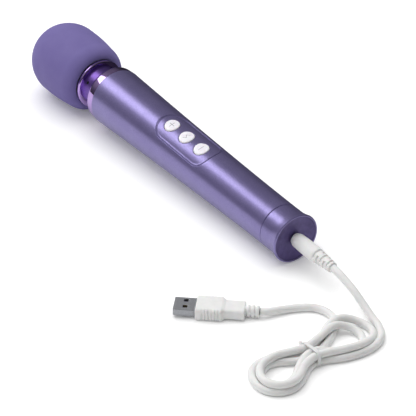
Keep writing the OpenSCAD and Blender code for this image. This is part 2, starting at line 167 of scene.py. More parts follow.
def violetChrome():
    # ABS plated and lacquered violet: a mirror with faint polishing haze, 3 mm across
    material, tree, shader, place = newMaterial("violet_chrome", Metallic=1.0, Roughness=0.06)
    haze = addNode(tree, "ShaderNodeTexNoise", [("Vector", place)], Scale=1000 / 3.0, Detail=4.0)
    dress(tree, shader, haze.outputs["Fac"], [(0.3, "#c3a3e4"), (0.7, "#cdb0ec")],
          haze.outputs["Fac"], (0.03, 0.1))
    return material


def violetSatin():
    # the same plating over a blasted surface: an even, dull purple metal
    return metalFinish("violet_satin", "#8f6fc4", "#7d5eb2", 0.36, 0.6, strength=0.1)


def endSatin():
    # ABS end disc in a darker satin lacquer: 4 mm clouds, 0.4 mm grain
    material, tree, shader, place = newMaterial(
        "end_satin", Metallic=0.45, Roughness=0.4, Coat_Weight=0.25, Coat_Roughness=0.25)
    cloud = addNode(tree, "ShaderNodeTexNoise", [("Vector", place)], Scale=1000 / 4.0, Detail=4.0)
    grain = addNode(tree, "ShaderNodeTexNoise", [("Vector", place)], Scale=1000 / 0.4, Detail=2.0)
    dress(tree, shader, cloud.outputs["Fac"], [(0.3, "#4a3d74"), (0.7, "#5d4f88")],
          relief=grain.outputs["Fac"], strength=0.2, depth=0.01)
    return material


def buttonWhite():
    # glossy white ABS keys; the sunken symbol is printed pale grey
    material, tree, shader, place = newMaterial(
        "button_white", Roughness=0.25, IOR=1.53, Subsurface_Weight=0.05, Subsurface_Scale=0.001)
    symbol = addNode(tree, "ShaderNodeAttribute", attribute_name="symbol")
    cloud = addNode(tree, "ShaderNodeTexNoise", [("Vector", place)], Scale=1000 / 2.5, Detail=3.0)
    dress(tree, shader, cloud.outputs["Fac"], [(0.3, "#e9e7ee"), (0.7, "#f1eff5")],
          cloud.outputs["Fac"], (0.2, 0.32))
    white = shader.inputs["Base Color"].links[0].from_socket
    colour = addNode(tree, "ShaderNodeMix", [(0, symbol.outputs["Fac"]), (6, white)], data_type="RGBA")
    colour.inputs[7].default_value = linear("#aeaab4")
    tree.links.new(colour.outputs[2], shader.inputs["Base Color"])
    return material


def softPvc(name="cord_pvc", pale="#ededec", shade="#e5e5e4", grainMm=0.5, depth=0.015):
    # extruded or moulded white PVC: semi-matt, slightly translucent, 6 mm clouds, faint grain
    material, tree, shader, place = newMaterial(
        name, Roughness=0.42, IOR=1.53, Subsurface_Weight=0.08, Subsurface_Scale=0.0015)
    cloud = addNode(tree, "ShaderNodeTexNoise", [("Vector", place)], Scale=1000 / 6.0, Detail=3.0)
    grain = addNode(tree, "ShaderNodeTexNoise", [("Vector", place)], Scale=1000 / grainMm, Detail=2.0)
    dress(tree, shader, cloud.outputs["Fac"], [(0.3, shade), (0.7, pale)],
          grain.outputs["Fac"], (0.36, 0.5), grain.outputs["Fac"], 0.3, depth)
    return material


def metalFinish(name, pale, deep, rough, grainMm, stretch=(1, 1, 1), strength=0.15, metal=1.0):
    # metal: streaks or mottling change its colour and roughness a little; stretch squeezes them along an axis
    material, tree, shader, place = newMaterial(name, Metallic=metal, Roughness=rough)
    drawn = addNode(tree, "ShaderNodeMapping", [("Vector", place)], Scale=stretch)
    streak = addNode(tree, "ShaderNodeTexNoise", [("Vector", drawn.outputs[0])],
                     Scale=1000 / grainMm, Detail=3.0).outputs["Fac"]
    dress(tree, shader, streak, [(0.3, deep), (0.7, pale)], streak, (rough * 0.8, rough * 1.3), streak,
          strength, 0.01)
    return material


def mouldedFinish(name, pale, deep, rough, grainMm, ior=1.5, depth=0.02):
    # moulded plastic or rubber: mottled colour, spark-eroded grain
    material, tree, shader, place = newMaterial(name, Roughness=rough, IOR=ior)
    grain = addNode(tree, "ShaderNodeTexNoise", [("Vector", place)],
                    Scale=1000 / grainMm, Detail=3.0).outputs["Fac"]
    dress(tree, shader, grain, [(0.3, deep), (0.7, pale)], grain, (rough * 0.85, rough * 1.15), grain, 0.3, depth)
    return material


finish = dict(
    satin=violetSatin(), silicone=softTouchSilicone(), pearl=pearlLacquer(), chrome=violetChrome(),
    endDisc=endSatin(), key=buttonWhite(), cord=softPvc(), tie=softPvc("tie_vinyl", "#ebebeb", "#e1e1e1", 0.8),
    shellAbs=mouldedFinish("shell_abs", "#606167", "#4f5056", 0.5, 0.6),
    rubber=mouldedFinish("black_rubber", "#26262a", "#1b1b1f", 0.7, 0.5, 1.52),
    clearSilicone=mouldedFinish("clear_silicone", "#dedee2", "#cfcfd4", 0.45, 0.8, 1.41),
    steel=metalFinish("plated_steel", "#babcc0", "#a8aaae", 0.36, 0.5, strength=0.2, metal=0.65),
    blackAbs=mouldedFinish("black_plastic", "#202126", "#15161a", 0.4, 0.5),
    ferrite=mouldedFinish("sintered_ferrite", "#43434a", "#2e2e33", 0.55, 0.3),
    bronze=metalFinish("sintered_bronze", "#b9824c", "#8d5f34", 0.45, 0.4),
    copper=metalFinish("enamelled_copper_wire", "#b56f3d", "#7c4320", 0.35, 0.6, (1, 1, 4), 0.6),
    board=mouldedFinish("board_solder_mask", "#26744c", "#185636", 0.35, 1.2),
    cellWrap=mouldedFinish("cell_heat_shrink", "#4380bd", "#2f659c", 0.35, 3.0, 1.57),
    wire=mouldedFinish("wire_pvc", "#b73a34", "#8f2824", 0.4, 0.5),
    gold=metalFinish("gold_flash_contacts", "#e2bf62", "#b98f3a", 0.22, 0.4))
print("materials ready:", len(finish))


def gridFaces(rows, columns, wrapRows=False, wrapColumns=False, start=0):
    # quads of a grid of points, numbered row by row
    i = np.arange(rows if wrapRows else rows - 1)[:, None]
    j = np.arange(columns if wrapColumns else columns - 1)[None, :]
    nextI, nextJ = (i + 1) % rows, (j + 1) % columns
    quads = [i * columns + j, i * columns + nextJ, nextI * columns + nextJ, nextI * columns + j]
    return start + np.stack(np.broadcast_arrays(*quads), -1).reshape(-1, 4)


def makePiece(name, points, faces, body, material, stands=(), sharp=38, heart=None):
    # points are metres in the row frame; doubles are merged and faces turned outwards, which for an open sheet
    # is away from its heart
    mesh = bpy.data.meshes.new(name)
    mesh.from_pydata(np.asarray(points, float).reshape(-1, 3).tolist(), [], np.asarray(faces).tolist())
    work = bmesh.new()
    work.from_mesh(mesh)
    bmesh.ops.remove_doubles(work, verts=work.verts, dist=2e-6)
    bmesh.ops.dissolve_degenerate(work, edges=work.edges, dist=1e-7)
    bmesh.ops.recalc_face_normals(work, faces=work.faces)
    if heart is not None:
        middle = Vector(heart)
        if sum(face.normal.dot(face.calc_center_median() - middle) for face in work.faces) < 0:
            bmesh.ops.reverse_faces(work, faces=work.faces)
    work.to_mesh(mesh)
    work.free()
    mesh.shade_smooth()
    mesh.set_sharp_from_angle(angle=math.radians(sharp))
    mesh.materials.append(material)
    piece = bpy.data.objects.new(name, mesh)
    bpy.context.scene.collection.objects.link(piece)
    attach(piece, body)
    if stands:
        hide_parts(*stands)
    return piece


def addWall(piece, thickness):
    # gives a sheet its wall, inwards
    wall = piece.modifiers.new("wall", "SOLIDIFY")
    wall.thickness, wall.offset, wall.use_even_offset = thickness * mm, -1, False
    return piece


def arc(centre, rx, rz, fromDeg, toDeg, steps):
    a = np.radians(np.linspace(fromDeg, toDeg, steps + 1))
    return np.column_stack([centre[0] + rx * np.cos(a), centre[1] + rz * np.sin(a)])


def rounded(corners, radii, steps=5, closed=True):
    # every corner gives way to a parabola between two points at its radius from it, or less on a short side
    p = np.array(corners, float)
    before, after = np.roll(p, 1, 0) - p, np.roll(p, -1, 0) - p
    a, b = np.linalg.norm(before, axis=1), np.linalg.norm(after, axis=1)
    r = np.minimum(np.broadcast_to(radii, len(p)), 0.48 * np.minimum(a, b))[:, None]
    t = np.linspace(0, 1, steps + 1)[None, :, None]
    first, last = (p + before / a[:, None] * r)[:, None], (p + after / b[:, None] * r)[:, None]
    curve = (1 - t) ** 2 * first + 2 * t * (1 - t) * p[:, None] + t ** 2 * last
    if not closed:
        curve[0], curve[-1] = p[0], p[-1]
    return curve.reshape(-1, p.shape[1])


def revolve(profile, around=128):
    # carries a (radius, height) profile round the axis; rows follow the profile
    a = np.arange(around) * 2 * np.pi / around
    r, z = np.array(profile, float).T[:, :, None]
    return np.stack([r * np.cos(a), r * np.sin(a), z + 0 * a], -1)


def turned(name, profile, body, material, stands, around=128):
    # a turned piece from a closed profile
    points, faces = place(revolve(profile, around)), gridFaces(len(profile), around, True, True)
    return makePiece(name, points, faces, body, material, stands)


def smoothThrough(points, steps):
    # cubic through every point, each piece bent by the points on both sides of it
    p = np.array(points, float)
    k = np.arange(len(p) - 1)
    a, b, c, e = (p[np.clip(k + n, 0, len(p) - 1)][:, None] for n in (-1, 0, 1, 2))
    t = (np.arange(steps) / steps)[None, :, None]
    curve = 0.5 * (2 * b + (c - a) * t + (2 * a - 5 * b + 4 * c - e) * t ** 2
                   + (3 * b - a - 3 * c + e) * t ** 3)
    return np.vstack([curve.reshape(-1, 3), p[-1:]])


def evenly(points, step):
    # the same line with its points a step apart
    s = np.r_[0, np.cumsum(np.linalg.norm(np.diff(points, axis=0), axis=1))]
    at = np.linspace(0, s[-1], int(round(s[-1] / step)) + 1)
    return np.stack([np.interp(at, s, points[:, n]) for n in range(3)], 1)


# The wand is drawn standing on its end face, in millimetres: x out through the buttons, z towards the head.
wand = dict(length=254.0, headR=22.7, topR=18.0, waistR=14.0, tailR=15.2, roll=14.0,
            ringZ=15.0, handleTopZ=179.3, collarZ=186.3, flangeZ=196.6, pivotZ=188.0, flareZ=0.8)
wand["crownZ"] = wand["length"] - wand["headR"]
wand["bandZ"] = wand["crownZ"] - 8
tilt = math.atan((wand["headR"] - wand["tailR"]) / (wand["bandZ"] - wand["flareZ"]))
roll = math.radians(wand["roll"])
tailHeight = wand["tailR"] * math.cos(tilt) - wand["flareZ"] * math.sin(tilt)
tailX = (wand["crownZ"] * math.cos(tilt) + wand["headR"] - wand["tailR"] * math.sin(tilt)) / 2


def place(p):
    # turns the standing wand by its roll, lays it down at its tilt and gives metres in the row frame
    x, y, z = p[..., 0], p[..., 1], p[..., 2]
    side, up = y * math.cos(roll) - x * math.sin(roll), y * math.sin(roll) + x * math.cos(roll)
    return np.stack([-z * math.cos(tilt) + up * math.sin(tilt) + tailX, side,
                     z * math.sin(tilt) + up * math.cos(tilt) + tailHeight], -1) * mm


def unplace(p):
    # from metres in the row frame back to the standing wand's millimetres
    q = np.asarray(p) / mm - np.array([tailX, 0, tailHeight])
    x = q[:, 0] * math.cos(tilt) - q[:, 2] * math.sin(tilt)
    up = q[:, 0] * math.sin(tilt) + q[:, 2] * math.cos(tilt)
    return np.column_stack([up * math.cos(roll) - q[:, 1] * math.sin(roll),
                            up * math.sin(roll) + q[:, 1] * math.cos(roll), -x])


# The charging cord, in millimetres in the row frame
cordSet = dict(
    d=4.4, low=2.2,
    # from the round plug's strain relief down to the table and round the hank, as the CAD solid runs
    toPlug=[(160.259, 0, 14.032), (166, 0, 13.3), (172, -0.1, 11.9), (179, -0.2, 9.7), (186, -0.5, 6.9),
            (193, -1.1, 4.2), (199, -1.9, 2.6), (204.6, -3, 2.2), (209.8, -6, 2.2), (214, -10.6, 2.2),
            (217.3, -16.4, 2.2), (219.4, -23.2, 2.2), (219.6, -30.2, 2.2), (217.2, -37.7, 2.2),
            (214, -44.7, 2.2)],
    # from the hank to the flat plug
    toUsb=[(205, -42, 2.2), (201.5, -35, 2.2), (197.7, -29.2, 2.2), (193.3, -23.6, 2.2), (188, -19.6, 2.2),
           (182, -18, 2.2), (176.2, -18.6, 2.2), (171, -21.5, 2.2), (167, -27, 2.2), (164, -33.7, 2.3),
           (162, -40.3, 2.8), (160.9, -45.3, 3.4), (158.887, -48.701, 3.7)],
    centre=(207.5, -51.5), turn=2.7,            # middle of the tie, and the hank's turn from across the wand
    settleRounds=240, step=2.4, bend=14.5,      # bend is the radius that the strands are eased towards
    startFixed=48, endFixed=58,                 # lengths that stay where they are
    slack=0.015, tieHold=0.4,                   # pull home along the hank and at the tie
    tieReach=(2.0, 8),                          # how far the tie's hold reaches, along and across
    sink=0.03, ease=0.06)

# Each fold: side, across at the tie on the way out and back, widths out and back, reach, shift of its tip,
# fullness out and back, heights from tie to tie
folds = [
    (-1, 4.4, -4.4, 11.5, 12.3, 37.0, 3.0, 1.6, 1.3, (2.2,) * 9),
    (1, -4.4, 4.4, 10.8, 9.0, 44.5, -3.0, 1.4, 1.6, (2.2, 4.9, 6.4, 4.6, 2.4, 3.0, 6.0, 6.4, 6.6)),
    (-1, 4.4, -4.4, 9.8, 7.8, 35.6, 7.8, 1.6, 1.0, (6.6, 6.4, 6.2, 6.0, 5.9, 6.4, 6.6, 6.6, 6.6)),
    (1, -4.4, 0.0, 6.4, 11.0, 36.7, -1.3, 1.3, 1.3, (6.6, 7.2, 6.6, 4.6, 4.0, 4.2, 4.6, 5.6, 6.6)),
    (-1, 0.0, 0.0, 10.5, 12.0, 31.9, 2.6, 1.6, 1.5, (6.6, 5.0, 2.8, 2.2, 2.2, 2.2, 2.2, 2.2, 2.2))]


def foldPoints(side, out, back, wideOut, wideBack, reach, tip, fullOut, fullBack, heights, count=17):
    # Half a turn a from tie to tie: reach times sin(a) along the hank; across it, a mix of its two places at
    # the tie, plus width times cos(a) times sin(a) to the fullness (scaled to a peak of 1), plus the tip's shift
    a = np.linspace(0, np.pi, count)
    f = (1 - np.cos(a)) / 2
    full = fullOut * (1 - f) + fullBack * f
    peak = np.arctan(np.sqrt(full))
    shape = np.cos(a) * np.sin(a) ** full / (np.cos(peak) * np.sin(peak) ** full)
    width = wideOut * (1 - f) + wideBack * f
    across = out * (1 - f) + back * f - side * width * shape + tip * np.sin(a) ** 3
    along = side * reach * np.sin(a)
    t = math.radians(cordSet["turn"])
    x = cordSet["centre"][0] + across * math.cos(t) - along * math.sin(t)
    y = cordSet["centre"][1] + across * math.sin(t) + along * math.cos(t)
    return np.column_stack([x, y, np.interp(a, np.linspace(0, np.pi, len(heights)), heights)])


def settle(line):
    # Lets the hank lie as a limp cord does: strands sink, push each other a diameter apart, keep their length
    # and ease their bends. The line's two ends stay where they are, and the tie holds the waist.
    d, low, step, bend = (cordSet[k] for k in ("d", "low", "step", "bend"))
    p = evenly(line, step)
    n = len(p)
    t = math.radians(cordSet["turn"])
    rel = p[:, :2] - np.array(cordSet["centre"])
    along = rel[:, 1] * math.cos(t) - rel[:, 0] * math.sin(t)
    across = rel[:, 0] * math.cos(t) + rel[:, 1] * math.sin(t)
    free = np.ones(n)
    free[:int(cordSet["startFixed"] / step)] = free[n - int(cordSet["endFixed"] / step):] = 0
    tied = (np.abs(along) < cordSet["tieReach"][0]) & (np.abs(across) < cordSet["tieReach"][1])
    hold = np.where(tied, cordSet["tieHold"], cordSet["slack"])[:, None]
    free, home, rest = free[:, None], p.copy(), np.linalg.norm(np.diff(p, axis=0), axis=1)
    far = np.abs(np.subtract.outer(np.arange(n), np.arange(n))) >= math.ceil(3 * d / step)
    for _ in range(cordSet["settleRounds"]):
        p[:, 2] -= cordSet["sink"] * free[:, 0]
        p += hold * free * (home - p)
        p[1:-1] += cordSet["ease"] * free[1:-1] * ((p[:-2] + p[2:]) / 2 - p[1:-1])
        for k in (1, 2, 3):
            off = p[k:-k] - (p[:-2 * k] + p[2 * k:]) / 2
            size = np.linalg.norm(off, axis=1)
            excess = np.maximum(size - (k * step) ** 2 / (2 * bend), 0) / np.maximum(size, 1e-9)
            move = (excess * 0.5)[:, None] * off
            p[k:-k] -= move * free[k:-k]
            p[:-2 * k] += move * 0.5 * free[:-2 * k]
            p[2 * k:] += move * 0.5 * free[2 * k:]
        for _ in range(2):
            gap = p[:, None] - p[None]
            dist = np.linalg.norm(gap, axis=2)
            near = far & (dist < d)
            push = (np.where(near, (d - dist) / np.maximum(dist, 1e-6), 0)[..., None] * gap).sum(1)
            p += 0.5 * free * push / np.maximum(near.sum(1), 1)[:, None]
            leg = np.diff(p, axis=0)
            size = np.linalg.norm(leg, axis=1)
            fix = ((size - rest) / size * 0.4)[:, None] * leg
            p[:-1] += fix * free[:-1]
            p[1:] -= fix * free[1:]
            p[:, 2] = np.maximum(p[:, 2], low * free[:, 0])
    for _ in range(3):
        p[1:-1] += 0.5 * free[1:-1] * ((p[:-2] + p[2:]) / 2 - p[1:-1])
    p[:, 2] = np.maximum(p[:, 2], low)
    return p


route = [np.array(cordSet["toPlug"])]
for number, fold in enumerate(folds):
    route.append(foldPoints(*fold)[1 if number else 0:])
route.append(np.array(cordSet["toUsb"]))
settled = settle(smoothThrough(np.vstack(route), 8))
cordLine = smoothThrough(settled, 3)
cordLine[:, 2] = np.maximum(cordLine[:, 2], cordSet["low"])

cordCurve = bpy.data.curves.new("charging_cord", "CURVE")
cordCurve.dimensions, cordCurve.bevel_depth, cordCurve.bevel_resolution = "3D", cordSet["d"] / 2 * mm, 7
cordCurve.use_fill_caps = True
strand = cordCurve.splines.new("POLY")
strand.points.add(len(cordLine) - 1)
strand.points.foreach_set("co", np.column_stack([cordLine * mm, np.ones(len(cordLine))]).ravel())
strand.use_smooth = True
cordCurve.materials.append(finish["cord"])
cordPiece = bpy.data.objects.new("charging_cord", cordCurve)
bpy.context.scene.collection.objects.link(cordPiece)
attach(cordPiece, "lead")
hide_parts("cord_to_plug", "cord_hank", "cord_to_usb")

# The head cover: one skin, turned about the wand's axis
head = dict(lipFrom=-80, lipTo=-88, corner=(15.4, 209.0), bulge=(6.0, 9.5), wall=1.8, swell=0.18)


def headSide(inset):
    # an ellipse quarter up from the lip, straight to the band, the band, then the crown's quarter circle
    band = np.array([[wand["headR"] - inset, z] for z in np.linspace(wand["bandZ"], wand["crownZ"], 5)[:-1]])
    corner = arc(head["corner"], head["bulge"][0] - inset, head["bulge"][1] - inset, head["lipFrom"], 0, 26)
    low = corner[-1]
    # the flank swells evenly from the corner to the band
    t = np.linspace(0, 1, 9)[1:-1, None]
    flank = low * (1 - t) + np.array([wand["headR"] - inset, wand["bandZ"]]) * t
    flank[:, 0] += head["swell"] * np.sin(np.pi * t[:, 0])
    crown = arc((0, wand["crownZ"]), wand["headR"] - inset, wand["headR"] - inset, 0, 90, 44)
    return np.vstack([corner, flank, band, crown])


outer, inner = headSide(0), headSide(head["wall"])
# the lip turns in under the corner as far as the collar's ball
lip = arc(head["corner"], *head["bulge"], head["lipTo"], head["lipFrom"] - 1, 5)
turned("head_skin", np.vstack([outer, inner[::-1], lip]), "head", finish["silicone"], ["head_cover"],
       160)
print("head ready")

# The plated rings above and below the neck's sleeve
collar = dict(flangeR=15.6, boreR=11.0, domeR=18.8, openingR=9.5, domeWall=1.5, bevelR=14.9, seatZ=181.5)
pivot = (0, wand["pivotZ"])


def ballArc(r, fromR, toR, steps=14):
    # part of a circle about the neck's centre, between two distances from the axis
    first, last = (90 - math.degrees(math.asin(away / r)) for away in (fromR, toR))
    return arc(pivot, r, r, first, last, steps)


dome = ballArc(collar["domeR"], collar["openingR"], collar["flangeR"] - 0.3)
under = ballArc(collar["domeR"] - collar["domeWall"], collar["boreR"], collar["openingR"], 4)
flangeR, flangeZ = collar["flangeR"], wand["flangeZ"]
rim = np.array([[flangeR, dome[-1][1] - 0.45], [flangeR, flangeZ + 0.7], [flangeR - 0.15, flangeZ + 0.35],
                [flangeR - 0.6, flangeZ], [collar["boreR"], flangeZ]])
turned("upper_collar_ring", np.vstack([dome, rim, under]), "handle", finish["chrome"], ["upper_collar"],
       160)

shoulder = rounded(
    [(17.9, wand["handleTopZ"]), (17.62, 184.6), (16.3, wand["collarZ"]), (collar["boreR"], wand["collarZ"]),
     (collar["boreR"], collar["seatZ"]), (collar["bevelR"], collar["seatZ"]), (collar["bevelR"], wand["handleTopZ"])],
    [0.15, 1.0, 0.9, 0.1, 0.1, 0.1, 0.1], 8)
turned("lower_collar_ring", shoulder, "handle", finish["chrome"], ["lower_collar"], 160)
print("collar ready")


def joined(parts):
    # several sheets of points and faces as one
    starts = np.cumsum([0] + [len(p) for p, _ in parts[:-1]])
    return np.vstack([p for p, _ in parts]), np.vstack([f + start for (_, f), start in zip(parts, starts)])


def rectangleLoop(z, y):
    # round a rectangle's edge through the given heights and sides, from the middle of its low end by the minus
    # side
    mid = len(y) // 2
    legs = [(z[0], y[mid:0:-1]), (z[:-1], y[0]), (z[-1], y[:-1]), (z[:0:-1], y[-1]), (z[0], y[:mid:-1])]
    return np.vstack([np.column_stack(np.broadcast_arrays(*leg)) for leg in legs])


def loopsToSheet(loops):
    # matching closed loops, one inside the other, as one sheet
    return np.vstack(loops), gridFaces(len(loops), len(loops[0]), False, True)


def blended(one, other, steps):
    # loops between two matching loops, both of them among these
    t = np.linspace(0, 1, steps + 1)[:, None, None]
    return list(one * (1 - t) + other * t)


# The handle's tube, with a hole for the button panel
handle = dict(wall=1.6, around=180, seam=0.13, lowRows=26, midRows=45, highRows=22, patchLow=70.0,
              patchHigh=132.0, patchTurn=60, panelHalf=10.2, panelLow=76.0, panelHigh=125.5, blunt=8.5, power=0.8)
# How a parting edge is broken: distance from the edge, and depth below the surface there
brokenEdge = [(0.0, 0.8), (0.0, 0.28), (0.05, 0.1), (0.14, 0.02), (0.28, 0.0)]


def handleRadius(z):
    # narrows quickly below the collar, then slowly: waist plus a 1.5 power of the height above the seam
    share = np.clip((z - wand["ringZ"]) / (wand["handleTopZ"] - wand["ringZ"]), 0, None)
    return wand["waistR"] + (wand["topR"] - wand["waistR"]) * share ** 1.5


def panelOutline(inset, count):
    # Half a circle towards the head and half a squared-off oval towards the end, both drawn in by inset, as
    # count points evenly along it, from the middle of the blunt end
    half, blunt, power = handle["panelHalf"] - inset, handle["blunt"], handle["power"]
    a = np.radians(np.linspace(-90, 90, 61))
    roundEnd = np.column_stack([handle["panelHigh"] - handle["panelHalf"] + half * np.cos(a), half * np.sin(a)])
    b = np.radians(np.linspace(90, 270, 121))
    c, s = np.abs(np.cos(b)) ** power, np.sign(np.sin(b)) * np.abs(np.sin(b)) ** power
    bluntEnd = np.column_stack([handle["panelLow"] + blunt - (blunt - inset) * c, half * s])
    loop = np.vstack([bluntEnd[60:], roundEnd[1:], bluntEnd[1:61]])
    length = np.r_[0, np.cumsum(np.linalg.norm(np.diff(loop, axis=0), axis=1))]
    at = np.linspace(0, length[-1], count + 1)[:-1]
    return np.column_stack([np.interp(at, length, loop[:, n]) for n in (0, 1)])


def onHandle(z, turn, drop):
    # a point on the handle at a height and an angle from the buttons, drop below its surface
    r = handleRadius(z) - drop
    return np.stack([r * np.cos(turn), r * np.sin(turn), z + 0 * turn], -1)


def ringRows(heights, drops, turns):
    z, turn = np.meshgrid(heights, turns, indexing="ij")
    return onHandle(z, turn, np.broadcast_to(np.array(drops)[:, None], z.shape)).reshape(-1, 3)


turns = np.arange(handle["around"]) * 2 * np.pi / handle["around"]
columns = int(handle["patchTurn"] * handle["around"] / 360)
sideTurns = turns[columns:handle["around"] - columns + 1]
patchEdge = math.radians(handle["patchTurn"])
patchTurns = np.linspace(-patchEdge, patchEdge, 2 * columns + 1)
seamRows = [(wand["ringZ"] + handle["seam"] + away, drop) for away, drop in brokenEdge]
topRows = [(wand["handleTopZ"] - away, drop) for away, drop in brokenEdge[:0:-1]]
firstZ, lastZ = wand["ringZ"] + 0.8, wand["handleTopZ"] - 0.7
lowZ = np.r_[[z for z, _ in seamRows], np.linspace(firstZ, handle["patchLow"], handle["lowRows"])]
lowDrop = [drop for _, drop in seamRows] + [0] * handle["lowRows"]
highZ = np.r_[np.linspace(handle["patchHigh"], lastZ, handle["highRows"]), [z for z, _ in topRows]]
highDrop = [0] * handle["highRows"] + [drop for _, drop in topRows]
midZ = np.linspace(handle["patchLow"], handle["patchHigh"], handle["midRows"])

outerLoop = rectangleLoop(midZ, patchTurns)
count = len(outerLoop)
rims = []
for away, drop in brokenEdge:
    outline = panelOutline(-away, count)
    outline[:, 1] = np.arcsin(outline[:, 1] / handleRadius(outline[:, 0]))
    rims.append((outline, drop))
rims += [(loop, 0) for loop in blended(rims[-1][0], outerLoop, 7)[1:]]
patchLoops = [onHandle(loop[:, 0], loop[:, 1], drop) for loop, drop in rims]
around = handle["around"]
points, faces = joined([
    (ringRows(lowZ, lowDrop, turns), gridFaces(len(lowZ), around, False, True)),
    (ringRows(midZ, [0] * len(midZ), sideTurns), gridFaces(len(midZ), len(sideTurns))),
    (ringRows(highZ, highDrop, turns), gridFaces(len(highZ), around, False, True)),
    loopsToSheet(patchLoops)])
handlePiece = makePiece("handle_shell", place(points), faces, "handle", finish["pearl"], ["handle_tube"],
                        heart=place(np.array([0, 0, handle["patchLow"]])))
addWall(handlePiece, handle["wall"])
print("handle ready")

# The button panel: a plate inlaid in the handle, with three holes for the buttons
panel = dict(gap=0.2, lip=0.55, step=0.16, wall=1.2, fieldLow=80.5, fieldHigh=121.5, fieldHalf=6.0,
             buttonMid=101.0, pitch=14.5, buttonR=4.7, holeGap=0.2, perSide=24)
buttonHeights = [panel["buttonMid"] + k * panel["pitch"] for k in (1, 0, -1)]


def onPanel(loop, drop):
    # a point over (height, side), drop below the handle's surface
    z, y = loop.T
    return np.column_stack([np.sqrt((handleRadius(z) - drop) ** 2 - y ** 2), y, z])


# From the parting line inwards: a broken edge, a level lip, then a small step down to the field
panelRims = [(panel["gap"] + away, drop) for away, drop in brokenEdge] + [
    (panel["gap"] + panel["lip"], 0), (panel["gap"] + panel["lip"] + 0.06, 0.03),
    (panel["gap"] + panel["lip"] + 0.14, panel["step"] - 0.03),
    (panel["gap"] + panel["lip"] + 0.2, panel["step"])]
cellZ = [panel["fieldLow"], panel["buttonMid"] - panel["pitch"] / 2, panel["buttonMid"] + panel["pitch"] / 2,
         panel["fieldHigh"]]
steps = [np.linspace(a, b, panel["perSide"] + 1) for a, b in zip(cellZ, cellZ[1:])]
fieldZ = np.concatenate([steps[0], steps[1][1:], steps[2][1:]])
fieldY = np.linspace(-panel["fieldHalf"], panel["fieldHalf"], panel["perSide"] + 1)
fieldLoop = rectangleLoop(fieldZ, fieldY)
loops = [onPanel(panelOutline(inset, len(fieldLoop)), drop) for inset, drop in panelRims]
inwards = blended(panelOutline(panelRims[-1][0], len(fieldLoop)), fieldLoop, 5)[1:]
sheets = [loopsToSheet(loops + [onPanel(loop, panel["step"]) for loop in inwards])]
for z, middle in zip(steps, buttonHeights[::-1]):
    cell = rectangleLoop(z, fieldY)
    reach = np.where(cell[:, 0] > middle, z[-1] - middle, middle - z[0])
    a = np.arctan2(cell[:, 1] / panel["fieldHalf"], (cell[:, 0] - middle) / reach)
    radii = [panel["buttonR"] + panel["holeGap"] + away for away, _ in brokenEdge]
    hole = [np.column_stack([middle + r * np.cos(a), r * np.sin(a)]) for r in radii]
    rows = [onPanel(loop, panel["step"] + drop) for loop, (_, drop) in zip(hole, brokenEdge)]
    rows += [onPanel(loop, panel["step"]) for loop in blended(hole[-1], cell, 3)[1:]]
    sheets.append(loopsToSheet(rows))
points, faces = joined(sheets)
panelPiece = makePiece("button_panel", place(points), faces, "handle", finish["pearl"], ["control_panel"],
                       heart=place(np.array([0, 0, panel["buttonMid"]])))
addWall(panelPiece, panel["wall"])
print("control panel ready")

button = dict(proud=0.5, crown=0.22, edge=0.55, symbolDepth=0.07, stroke=0.42, arm=1.9, blur=0.09,
              waveHalf=2.0, waveSwing=0.75, wavePeriods=0.75,
              flangeTop=12.2, flangeFoot=11.5, flangeR=5.4, stemR=3.0, stemFoot=10.8, rings=44, around=144)


def bar(a, b, halfA, halfB):
    # 1 inside a round-ended bar, falling to 0 over the blur outside it
    away = np.hypot(np.maximum(np.abs(a) - halfA, 0), np.maximum(np.abs(b) - halfB, 0)) - button["stroke"] / 2
    return np.clip(0.5 - away / button["blur"], 0, 1)


def symbolPlus(along, across):
    return np.maximum(bar(along, across, button["arm"], 0), bar(along, across, 0, button["arm"]))


def symbolMinus(along, across):
    return bar(along, across, 0, button["arm"])


def symbolWave(along, across):
    # a sine across the wand, with its periods to each side of the middle; its slope is allowed for by 0.75
    half = button["waveHalf"]
    swing = button["waveSwing"] * np.sin(across / half * 2 * button["wavePeriods"] * np.pi)
    away = np.hypot(np.abs(along - swing) * 0.75, np.maximum(np.abs(across) - half, 0)) - button["stroke"] / 2
    return np.clip(0.5 - away / button["blur"], 0, 1)


